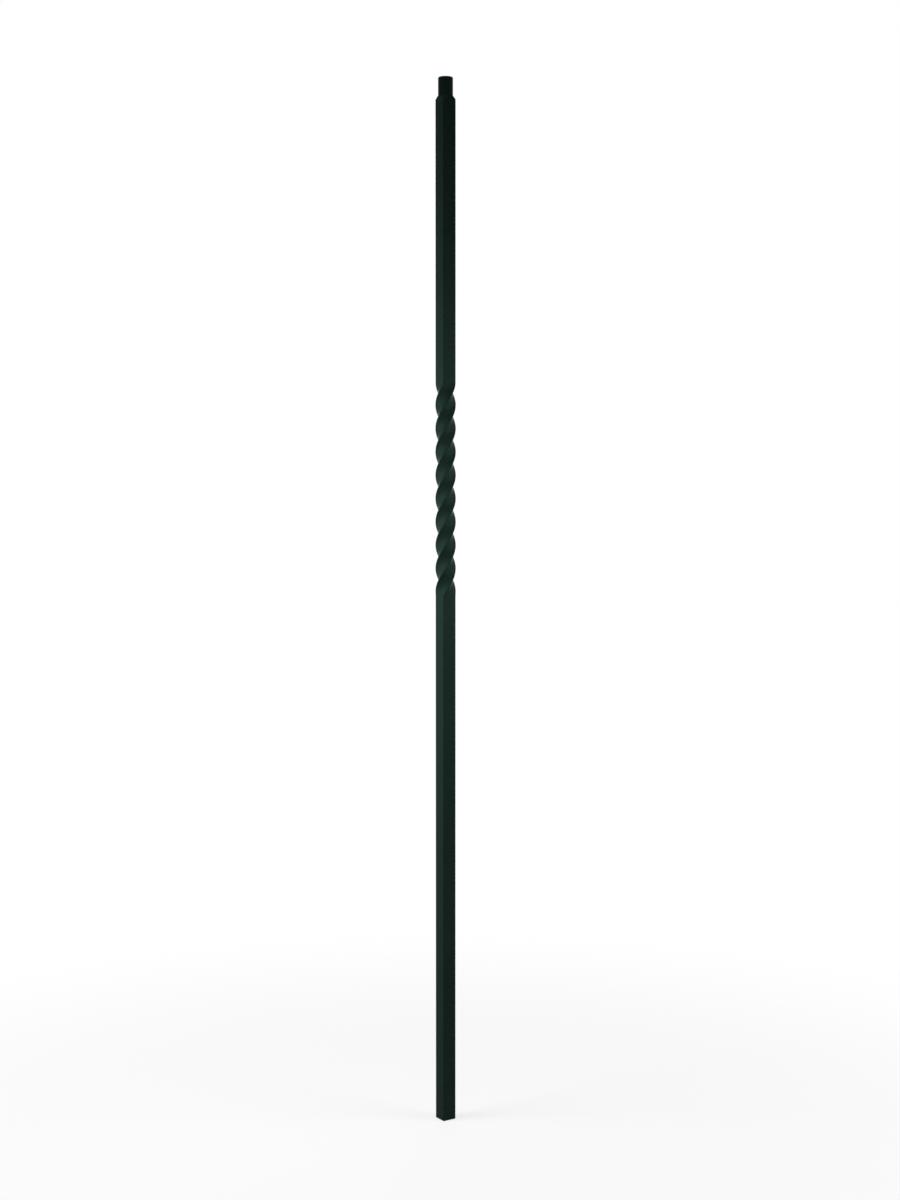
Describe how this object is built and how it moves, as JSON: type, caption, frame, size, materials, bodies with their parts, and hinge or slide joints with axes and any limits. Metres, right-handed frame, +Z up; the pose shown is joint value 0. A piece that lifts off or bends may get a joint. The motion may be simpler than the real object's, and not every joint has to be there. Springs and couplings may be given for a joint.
{
  "type": "iron stair baluster",
  "caption": "Square iron stair baluster with a twisted length in its shaft, a round dowel turned on its top end for the handrail and a plain sawn foot for the tread.",
  "frame": {"origin": "centre of the sawn foot of the bar, on its axis", "axes": "+Z up the bar towards the dowel, X and Y square to the flats of the plain bar"},
  "size_m": [0.0216, 0.0216, 1.1176],
  "materials": {
    "coat": "satin black powder coat with a dark green cast"
  },
  "bodies": {
    "root": {"baluster": "coat"}
  },
  "joints": []
}
